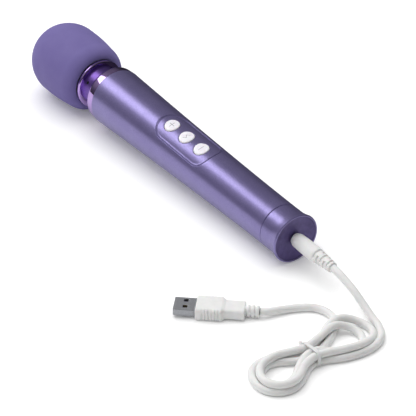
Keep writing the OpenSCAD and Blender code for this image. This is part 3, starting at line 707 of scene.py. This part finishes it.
def buttonPiece(name, middle, symbol, body, stands):
    # Rings out from the middle over the top, over its rounded edge, down the side to the flange and back in
    # underneath. The top is the handle's round plus proud, less a crown that grows with the square of the
    # radius, less the edge's quarter round, less the sunken symbol.
    a = np.arange(button["around"]) * 2 * np.pi / button["around"]
    flat = np.linspace(0, panel["buttonR"] - button["edge"], button["rings"])
    bend = np.radians(np.linspace(0, 90, 9)[1:])
    ring = np.r_[flat, panel["buttonR"] - button["edge"] + button["edge"] * np.sin(bend)]
    down = np.r_[np.zeros(button["rings"]), button["edge"] * (1 - np.cos(bend))]
    along, across = ring[:, None] * np.cos(a), ring[:, None] * np.sin(a)
    handleRound = np.sqrt((handleRadius(middle + along) + button["proud"]) ** 2 - across ** 2)
    mark = symbol(along, across)
    top = handleRound - button["crown"] * (ring[:, None] / panel["buttonR"]) ** 2 - down[:, None]
    top -= button["symbolDepth"] * mark
    under = np.array([(panel["buttonR"], button["flangeTop"]), (button["flangeR"], button["flangeTop"]),
                      (button["flangeR"], button["flangeFoot"]), (button["stemR"], button["flangeFoot"]),
                      (button["stemR"], button["stemFoot"]), (0, button["stemFoot"])])
    low = np.stack([np.broadcast_to(under[:, 1:], (len(under), len(a))), under[:, :1] * np.sin(a),
                    middle + under[:, :1] * np.cos(a)], -1)
    points = np.concatenate([np.stack([top, across, middle + along], -1), low])
    faces = gridFaces(len(points), button["around"], False, True)
    piece = makePiece(name, place(points), faces, body, finish["key"], stands)
    # the mark is laid on again by position, as merging has renumbered the points
    at = np.empty(len(piece.data.vertices) * 3)
    piece.data.vertices.foreach_get("co", at)
    local = unplace(at.reshape(-1, 3))
    value = np.where(local[:, 0] > button["flangeTop"] + 0.5, symbol(local[:, 2] - middle, local[:, 1]), 0)
    piece.data.attributes.new("symbol", "FLOAT", "POINT").data.foreach_set("value", value)
    return piece


buttonPiece("plus_button", buttonHeights[0], symbolPlus, "plus_key", ["button_plus"])
buttonPiece("mode_button", buttonHeights[1], symbolWave, "mode_key", ["button_mode"])
buttonPiece("minus_button", buttonHeights[2], symbolMinus, "minus_key", ["button_minus"])
print("buttons ready")

# The end ring and its hollow disc
tail = dict(flareTop=9.0, spigotR=12.3, grooveR=11.4, boreR=10.2, plateR=13.9, jackR=2.2)
rise, spread = tail["flareTop"] - wand["flareZ"], wand["tailR"] - wand["waistR"]
flareR = (rise ** 2 + spread ** 2) / (2 * spread)
flare = arc((wand["waistR"] + flareR, tail["flareTop"]), flareR, flareR,
            180 + math.degrees(math.asin(rise / flareR)), 180, 22)
seamEdge = np.array([[wand["waistR"] - drop, wand["ringZ"] - handle["seam"] - away]
                     for away, drop in brokenEdge[:0:-1]])
flareEdge = rounded([(14.0, 0), (wand["tailR"] - 0.35, 0), (wand["tailR"], wand["flareZ"]), tuple(flare[3])],
                    [0.05, 0.3, 0.45, 0.05], 6, closed=False)[7:-7]
spigotR, grooveR, boreR = tail["spigotR"], tail["grooveR"], tail["boreR"]
inside = np.array([[wand["waistR"] - 0.5, wand["ringZ"]], [spigotR, wand["ringZ"]], [spigotR, 17], [grooveR, 17],
                   [grooveR, 18.4], [spigotR, 18.4], [spigotR, 21], [boreR, 21], [boreR, 2.5], [14.0, 2.5],
                   [14.0, 0.15], [14.15, 0]])
turned("end_ring", np.vstack([flareEdge, flare[3:], seamEdge, inside]), "handle", finish["pearl"],
       ["tail_ring"], 180)
plate = rounded([(tail["jackR"], 2.5), (tail["plateR"], 2.5), (tail["plateR"], 0.3), (12.9, 0.5), (9, 0.9),
                 (5, 1.1), (3.4, 1.15), (2.9, 1.45), (tail["jackR"], 1.5)],
                [0.05, 0.1, 0.2, 2, 2, 1, 0.2, 0.2, 0.1], 6)
turned("end_disc", plate, "handle", finish["endDisc"], ["tail_plate"], 160)
print("end ready")

# The round plug's grip and its slotted strain relief
plug = dict(bootZ=-20.0, bootEnd=-33.6, tipR=3.15, flareR=1.1, ribs=5, around=96, rows=141,
            slotFrom=0.52, slotTo=0.98, slotEdge=0.06, slotDepth=1.0, slotTurn=66, turnEdge=0.12)
grip = rounded([(0, 0.6), (3.4, 0.6), (3.75, -0.5), (4.25, -1.6), (4.6, -9), (4.6, -18.6),
                (4.35, plug["bootZ"]), (0, plug["bootZ"])],
               [0, 0.5, 0.6, 1.2, 3, 0.8, 0.3, 0], 6, closed=False)
turned("plug_handle", grip, "lead", finish["cord"], ["plug_grip"], 96)


def strainRelief():
    # A taper whose radius drops in a slot at each gap between ribs. Each slot takes a share of the round on two
    # opposite sides, turned a quarter from one slot to the next, with soft ends. Its tip is rounded over.
    a = np.arange(plug["around"]) * 2 * np.pi / plug["around"]
    foot = plug["bootZ"] + 0.4
    z = np.linspace(plug["bootEnd"], foot, plug["rows"])[:, None]
    share = (z - plug["bootEnd"]) / (plug["bootZ"] - plug["bootEnd"])
    pitch = (plug["bootZ"] - plug["bootEnd"]) / plug["ribs"]
    count = np.floor((z - plug["bootEnd"]) / pitch)
    within = (z - plug["bootEnd"]) / pitch - count
    gap = np.clip((within - plug["slotFrom"]) / plug["slotEdge"], 0, 1)
    gap = gap * np.clip((plug["slotTo"] - within) / plug["slotEdge"], 0, 1) * (share < 1)
    turn = np.abs((a + count * np.pi / 2 + np.pi / 2) % np.pi - np.pi / 2)
    sector = np.clip((math.radians(plug["slotTurn"]) - turn) / plug["turnEdge"], 0, 1)
    tip = np.clip((z - plug["bootEnd"]) / 0.35, 0, 1) ** 0.5
    r = (plug["tipR"] + plug["flareR"] * share) - 0.5 * (1 - tip) - plug["slotDepth"] * gap * sector
    rows = np.stack([r * np.cos(a), r * np.sin(a), z + 0 * r], -1)
    ends = np.zeros((1, plug["around"], 3))
    return np.concatenate([ends + [0, 0, plug["bootEnd"]], rows, ends + [0, 0, foot]])


boot = strainRelief()
makePiece("plug_strain_relief", place(boot), gridFaces(*boot.shape[:2], False, True), "lead", finish["cord"],
          ["plug_boot"])
print("round plug ready")

# The tie round the hank: a flat vinyl band with its two ends twisted together
tieSet = dict(half=7.15, top=8.95, corner=3.2, width=1.9, thick=0.8, wander=0.35,
              endLength=2.4, endStart=0.35, endZ=6.4, endRise=1.2, endTurn=2.4, endDrift=0.8, endPoints=12)


def boxLoop(halfWide, halfHigh, corner, perCorner=10, perSide=6):
    # a rectangle with quarter-circle corners and points along its sides
    a = np.radians(np.linspace(0, 90, perCorner + 1))
    quarter = np.column_stack([halfWide - corner + corner * np.cos(a), halfHigh - corner + corner * np.sin(a)])
    whole = np.vstack([quarter, quarter[::-1] * [-1, 1], -quarter, quarter[::-1] * [1, -1]])
    t = np.linspace(0, 1, perSide + 2)[1:-1, None]
    n = perCorner + 1
    parts = []
    for k in range(4):
        first, last = whole[(k + 1) * n - 1], whole[(k + 1) * n % len(whole)]
        parts += [whole[k * n:(k + 1) * n], first * (1 - t) + last * t]
    return np.vstack(parts)


def onHank(across, along, z):
    t = math.radians(cordSet["turn"])
    x = cordSet["centre"][0] + across * math.cos(t) - along * math.sin(t)
    y = cordSet["centre"][1] + across * math.sin(t) + along * math.cos(t)
    return np.stack([x, y, z + 0 * across], -1) * mm


def ribbon(path, normal, width, thick, wave, wrap):
    # A band along a path in the plane across the hank: four corners at each point, half its width along the
    # hank and half its thickness along the normal; the band wanders by wave along the hank.
    side = np.array([-1, 1, 1, -1]) * width / 2
    level = np.array([-1, -1, 1, 1]) * thick / 2
    across = path[:, :1] + normal[:, :1] * level
    z = path[:, 1:] + normal[:, 1:] * level
    along = side + wave[:, None]
    return onHank(across, along, z), gridFaces(len(path), 4, wrap, True)


half, high, thick = tieSet["half"], tieSet["top"] / 2, tieSet["thick"]
middle = boxLoop(half + thick / 2, high, tieSet["corner"])
tangent = np.roll(middle, -1, 0) - np.roll(middle, 1, 0)
normal = np.column_stack([tangent[:, 1], -tangent[:, 0]]) / np.linalg.norm(tangent, axis=1)[:, None]
turnPart = np.linspace(0, 2 * np.pi, len(middle), endpoint=False)
points, faces = ribbon(middle + [0, high + thick / 2], normal, tieSet["width"], thick,
                       tieSet["wander"] * np.sin(turnPart), True)
endT = np.linspace(0, 1, tieSet["endPoints"])
endPath = np.column_stack([-half - tieSet["endStart"] - tieSet["endLength"] * endT,
                           tieSet["endZ"] + tieSet["endRise"] * np.sin(endT * tieSet["endTurn"])])
endTangent = np.gradient(endPath, axis=0)
endTangent /= np.linalg.norm(endTangent, axis=1)[:, None]
endNormal = np.column_stack([-endTangent[:, 1], endTangent[:, 0]])
endPoints, endFaces = ribbon(endPath, endNormal, tieSet["width"], thick, tieSet["endDrift"] * endT, False)
lastCorner = 4 * tieSet["endPoints"] - 1
endFaces = np.vstack([endFaces, [[0, 1, 2, 3], lastCorner - np.arange(4)]])
points, faces = joined([(points.reshape(-1, 3), faces), (endPoints.reshape(-1, 3), endFaces)])
makePiece("tie_band", points, faces, "lead", finish["tie"], ["twist_tie"])
print("tie ready")

# The flat plug, in millimetres along it from its mouth
usb = dict(front=(127.0, -83.5), z=3.7, heading=47.5, shellLength=12.2, shellHalf=(6.0, 2.25), wall=0.3,
           half=(8, 3.7), narrowing=(2.0, 0.7), wide=16.5, stepLength=2.6, grip=27.0, corner=2.3, rows=0.15,
           frontRound=0.9, backRound=0.8, endDrop=0.75, ribs=6, ribPitch=1.8, ribFrom=3.4, ribDepth=0.45,
           windowMiddle=(6.4, 2.9), windowHalf=1.2, boot=8.0, bootCoreR=2.7, bootRibR=3.4, bootPitch=2.5)


def onPlug(p):
    # along the flat plug, across it and up, to the row frame
    h = math.radians(usb["heading"])
    x, y, z = p[..., 0], p[..., 1], p[..., 2]
    return np.stack([usb["front"][0] + x * math.cos(h) - y * math.sin(h),
                     usb["front"][1] + x * math.sin(h) + y * math.cos(h), z + usb["z"]], -1) * mm


def overmould():
    # Rounded-box sections along the plug: the wide part steps down to the narrow one in a short curve; grooves
    # cut in from both sides where the section is near its full width, and both ends are rounded over.
    length, front, back = usb["grip"], usb["frontRound"], usb["backRound"]
    behind = np.unique(np.concatenate([np.linspace(0, 1, 12) ** 2 * front,
                                       np.arange(1, length - back, usb["rows"]),
                                       length - np.linspace(0, 1, 10) ** 2 * back]))
    ease = np.clip((behind - usb["wide"] + usb["stepLength"]) / usb["stepLength"], 0, 1)
    ease = ease * ease * (3 - 2 * ease)
    end = np.minimum(behind / front, (length - behind) / back).clip(0, 1)
    cut = usb["endDrop"] * (1 - np.sqrt(1 - (1 - end) ** 2))
    wide, high = (full - less * ease - cut for full, less in zip(usb["half"], usb["narrowing"]))
    unit = boxLoop(*usb["half"], usb["corner"], 10, 8) / usb["half"]
    slot = (behind - usb["ribFrom"]) / usb["ribPitch"]
    inSlot = (slot > -0.05) & (slot < usb["ribs"] - 0.5)
    groove = np.where(inSlot, np.clip((0.5 - np.abs((slot % 1) - 0.25) * 2) * 4, 0, 1), 0)
    near = np.clip((np.abs(unit[:, 0]) - 0.75) / 0.2, 0, 1)
    y = unit[:, 0] * wide[:, None] - np.sign(unit[:, 0]) * near * usb["ribDepth"] * groove[:, None]
    rows = np.stack([usb["shellLength"] + behind[:, None] + 0 * y, y, unit[:, 1] * high[:, None]], -1)
    cap = np.zeros((1, rows.shape[1], 3))
    return np.concatenate([cap + [rows[0, 0, 0], 0, 0], rows, cap + [rows[-1, 0, 0], 0, 0]])


mould = overmould()
makePiece("flat_plug_grip", onPlug(mould), gridFaces(*mould.shape[:2], False, True), "lead", finish["cord"],
          ["usb_grip"])

core, ribR = usb["bootCoreR"], usb["bootRibR"]
bootProfile = [(0, 0)]
for k in range(3):
    at = 1.2 + usb["bootPitch"] * k
    bootProfile += [(core, at - 0.12 if k else 0), (core, at), (ribR - 0.15, at + 0.05), (ribR, at + 0.3),
                    (ribR, at + 1.3), (ribR - 0.15, at + 1.55), (core, at + 1.6)]
bootProfile += [(core, usb["boot"] - 0.25), (core - 0.25, usb["boot"]), (0, usb["boot"])]
bootPoints = revolve(bootProfile, 72)[..., [2, 0, 1]]
bootPoints[..., 0] += usb["shellLength"] + usb["grip"] - 0.2
makePiece("flat_plug_strain_relief", onPlug(bootPoints), gridFaces(len(bootProfile), 72, False, True), "lead",
          finish["cord"], ["usb_boot"])


def metalShell():
    # A folded sheet tube with two latch windows top and bottom: a grid along the tube and round its section,
    # its lines falling on the windows' edges, with the windows' cells left out.
    x = np.array([0, 0.15, 1.5, 3.2, 4.4, 5.2, 6.0, 6.8, 7.6, 9.0, 10.6, usb["shellLength"]])
    w, h = usb["shellHalf"]
    level = np.array([-4.6, -4.1, -3.5, -2.9, -2.2, -1.7, -0.9, 0, 0.9, 1.7, 2.2, 2.9, 3.5, 4.1, 4.6])
    a = np.radians(np.linspace(0, 90, 7))
    corner = np.column_stack([w - 0.7 + 0.7 * np.cos(a), h - 0.7 + 0.7 * np.sin(a)])
    top = np.column_stack([level[::-1], np.full(len(level), h)])
    loop = np.vstack([corner, top, corner[::-1] * [-1, 1], -corner, -top, corner[::-1] * [1, -1]])
    rows = np.stack(np.broadcast_arrays(x[:, None], *loop.T), -1)
    rows[0, :, 1:] *= 0.985
    faces = gridFaces(len(x), len(loop), False, True)
    along, across, up = rows.reshape(-1, 3)[faces].mean(1).T
    away = np.maximum(np.abs(along - usb["windowMiddle"][0]), np.abs(np.abs(across) - usb["windowMiddle"][1]))
    window = (away < usb["windowHalf"]) & (np.abs(up) > h - 0.1)
    return rows, faces[~window]


shell, shellFaces = metalShell()
shellPiece = makePiece("flat_plug_shell", onPlug(shell), shellFaces, "lead", finish["steel"], ["usb_shell"],
                       heart=onPlug(np.array([usb["shellLength"] / 2, 0, 0])))
addWall(shellPiece, usb["wall"])
print("flat plug ready")

# All other nodes keep their own mesh
slotFinish = dict(
    soft_touch_silicone="silicone", pearl_lacquer="pearl", violet_chrome="chrome", end_satin="endDisc",
    button_white="key", shell_abs="shellAbs", black_rubber="rubber", clear_silicone="clearSilicone",
    plated_steel="steel", black_plastic="blackAbs", ferrite="ferrite", bronze="bronze", copper_wound="copper",
    board_green="board", cell_wrap="cellWrap", wire_red="wire", cord_white="cord", contact_gold="gold")
ownFinish = dict(neck_sleeve="satin", neck_set_screws="rubber")
for row in frame["record"]["subparts"]:
    keeper = frame["nodes"][row["node"]]
    keeper.data.materials.clear()
    keeper.data.materials.append(finish[ownFinish.get(row["node"], slotFinish[row["material_slot"]])])
print("inner parts finished")

# The floor and the lights; the stripe is seen only in reflections, the overhead lamp only by dull surfaces
studio = dict(
    floor=6.0, paperGlow=0.12, fill=0.78, farSide=0.45, tailSide=0.2,
    stripeWay=(-0.683, -0.249, 0.685), stripeAway=1.2, stripeSize=0.5, stripePower=2.1,
    overheadWay=(-0.3, -0.05, 0.95), overheadAway=2.2, overheadSize=2.6, overheadPower=36.0,
    sky=[(0.0, (0.05, 0.05, 0.05, 1)), (0.22, (0.09, 0.09, 0.1, 1)), (0.55, (0.34, 0.34, 0.35, 1)),
         (1.0, (0.26, 0.26, 0.26, 1))])

floorMesh = bpy.data.meshes.new("floor")
reach = studio["floor"] / 2
floorMesh.from_pydata([(-reach, -reach, 0), (reach, -reach, 0), (reach, reach, 0), (-reach, reach, 0)], [],
                      [(0, 1, 2, 3)])
floor = bpy.data.objects.new("floor", floorMesh)
bpy.context.scene.collection.objects.link(floor)
paper, paperTree, paperShader, paperPlace = newMaterial("backdrop_paper", Roughness=0.9, Specular_IOR_Level=0.1)
# White paper, glowing a little to keep its shadows soft. In reflections the paper is painted grey, and painted dark
# on the far side of the table, a painted shade standing in for a black flag behind the wand.
ray = addNode(paperTree, "ShaderNodeLightPath")
where = addNode(paperTree, "ShaderNodeSeparateXYZ", [("Vector", paperPlace)])
behind = addNode(paperTree, "ShaderNodeMapRange", [("Value", where.outputs["Y"])], From_Min=0.02, From_Max=0.06)
# painted shade in reflections: the paper's colour for glossy rays, grey near the wand and dark behind it
paperReflectionPaintedDark = addNode(paperTree, "ShaderNodeMix", [(0, behind.outputs[0])], data_type="RGBA")
paperReflectionPaintedDark.inputs[6].default_value = linear("#e6e6e8")
paperReflectionPaintedDark.inputs[7].default_value = linear("#2e2c34")
shade = addNode(paperTree, "ShaderNodeMix", [(0, ray.outputs["Is Glossy Ray"]), (7, paperReflectionPaintedDark.outputs[2])],
                data_type="RGBA")
shade.inputs[6].default_value = linear("#ffffff")
glow = addNode(paperTree, "ShaderNodeMath", [(0, ray.outputs["Is Camera Ray"])], operation="MULTIPLY")
glow.inputs[1].default_value = studio["paperGlow"]
paperShader.inputs["Emission Color"].default_value = (1, 1, 1, 1)
paperTree.links.new(glow.outputs[0], paperShader.inputs["Emission Strength"])
paperTree.links.new(shade.outputs[2], paperShader.inputs["Base Color"])
floorMesh.materials.append(paper)
floor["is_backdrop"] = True

# The room: white to the camera, an even fill on dull surfaces, and in reflections dark near the horizon and
# behind the wand and lighter overhead; it is dim on the side that the end face looks to.
world = bpy.data.worlds.new("studio")
bpy.context.scene.world = world
world.use_nodes = True
room = world.node_tree
way = addNode(room, "ShaderNodeTexCoord").outputs["Generated"]
sky = addNode(room, "ShaderNodeSeparateXYZ", [("Vector", way)])
height = addNode(room, "ShaderNodeValToRGB", [("Fac", sky.outputs["Z"])])
rampStops(height, studio["sky"])
farSide = addNode(room, "ShaderNodeMapRange", [("Value", sky.outputs["Y"])], From_Min=-0.15, From_Max=0.3,
                  To_Min=1.0, To_Max=studio["farSide"])
mirrored = addNode(room, "ShaderNodeVectorMath", [(0, height.outputs["Color"])], operation="SCALE")
room.links.new(farSide.outputs[0], mirrored.inputs["Scale"])
rays = addNode(room, "ShaderNodeLightPath")
lit = addNode(room, "ShaderNodeMix", [(0, rays.outputs["Is Glossy Ray"]), (7, mirrored.outputs[0])],
              data_type="RGBA")
lit.inputs[6].default_value = (studio["fill"], studio["fill"], studio["fill"], 1)
tailSide = addNode(room, "ShaderNodeMapRange", [("Value", sky.outputs["X"])], From_Min=0.0, From_Max=0.7,
                   To_Min=1.0, To_Max=studio["tailSide"])
dimmed = addNode(room, "ShaderNodeVectorMath", [(0, lit.outputs[2])], operation="SCALE")
room.links.new(tailSide.outputs[0], dimmed.inputs["Scale"])
seen = addNode(room, "ShaderNodeMix", [(0, rays.outputs["Is Camera Ray"]), (6, dimmed.outputs[0])],
               data_type="RGBA")
seen.inputs[7].default_value = (1, 1, 1, 1)
room.links.new(seen.outputs[2], room.nodes["Background"].inputs["Color"])


def softBox(name, direction, distance, size, power, glossy=True, diffuse=True, target=(0.03, -0.01, 0.02)):
    lamp = bpy.data.lights.new(name, "AREA")
    lamp.shape, lamp.size, lamp.energy = "SQUARE", size, power
    holder = bpy.data.objects.new(name, lamp)
    d = Vector(direction).normalized()
    holder.location = Vector(target) + d * distance
    holder.rotation_mode = "QUATERNION"
    holder.rotation_quaternion = d.to_track_quat("Z", "Y")
    holder.visible_glossy, holder.visible_diffuse = glossy, diffuse
    bpy.context.scene.collection.objects.link(holder)


softBox("stripe", studio["stripeWay"], studio["stripeAway"], studio["stripeSize"], studio["stripePower"],
        diffuse=False)
softBox("overhead", studio["overheadWay"], studio["overheadAway"], studio["overheadSize"],
        studio["overheadPower"], glossy=False)
bpy.context.scene.view_settings.view_transform = "Standard"
print("studio ready")

size = {"cad": cadBox, "visual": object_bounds()}
for label, box in size.items():
    print(label, box)
